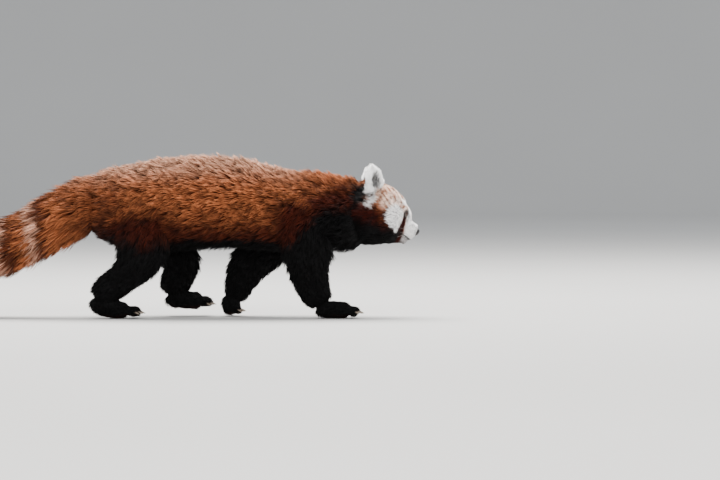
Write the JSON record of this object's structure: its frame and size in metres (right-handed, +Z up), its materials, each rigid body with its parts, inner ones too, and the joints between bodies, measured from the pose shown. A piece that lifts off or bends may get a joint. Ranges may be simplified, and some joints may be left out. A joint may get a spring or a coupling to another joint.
{
  "type": "red panda",
  "caption": "Life-size still model of an adult red panda walking on the level, bushy ringed tail held out behind.",
  "frame": {"origin": "on the floor, under the middle of the animal's bounding box", "axes": "+X the way the animal faces, +Y its left side, +Z up"},
  "size_m": [0.9418, 0.1604, 0.2823],
  "materials": {
    "rust_coat": "long rust-red fur",
    "black_coat": "short black fur",
    "white_coat": "short white fur",
    "tail_coat": "long fur in red and buff rings",
    "nose_skin": "moist pebbled skin",
    "eye": "wet dark brown",
    "claw": "smooth pale horn"
  },
  "bodies": {
    "root": {"torso": "rust_coat", "neck": "rust_coat", "head": "rust_coat", "nose": "nose_skin", "ear_left": "white_coat", "ear_right": "white_coat", "eye_left": "eye", "eye_right": "eye", "tail": "tail_coat", "leg_hind_right": "black_coat", "paw_hind_right": "black_coat", "claw_hind_right_1": "claw", "claw_hind_right_2": "claw", "claw_hind_right_3": "claw", "claw_hind_right_4": "claw", "claw_hind_right_5": "claw", "leg_hind_left": "black_coat", "paw_hind_left": "black_coat", "claw_hind_left_1": "claw", "claw_hind_left_2": "claw", "claw_hind_left_3": "claw", "claw_hind_left_4": "claw", "claw_hind_left_5": "claw", "leg_fore_right": "black_coat", "paw_fore_right": "black_coat", "claw_fore_right_1": "claw", "claw_fore_right_2": "claw", "claw_fore_right_3": "claw", "claw_fore_right_4": "claw", "claw_fore_right_5": "claw", "leg_fore_left": "black_coat", "paw_fore_left": "black_coat", "claw_fore_left_1": "claw", "claw_fore_left_2": "claw", "claw_fore_left_3": "claw", "claw_fore_left_4": "claw", "claw_fore_left_5": "claw"}
  },
  "joints": []
}
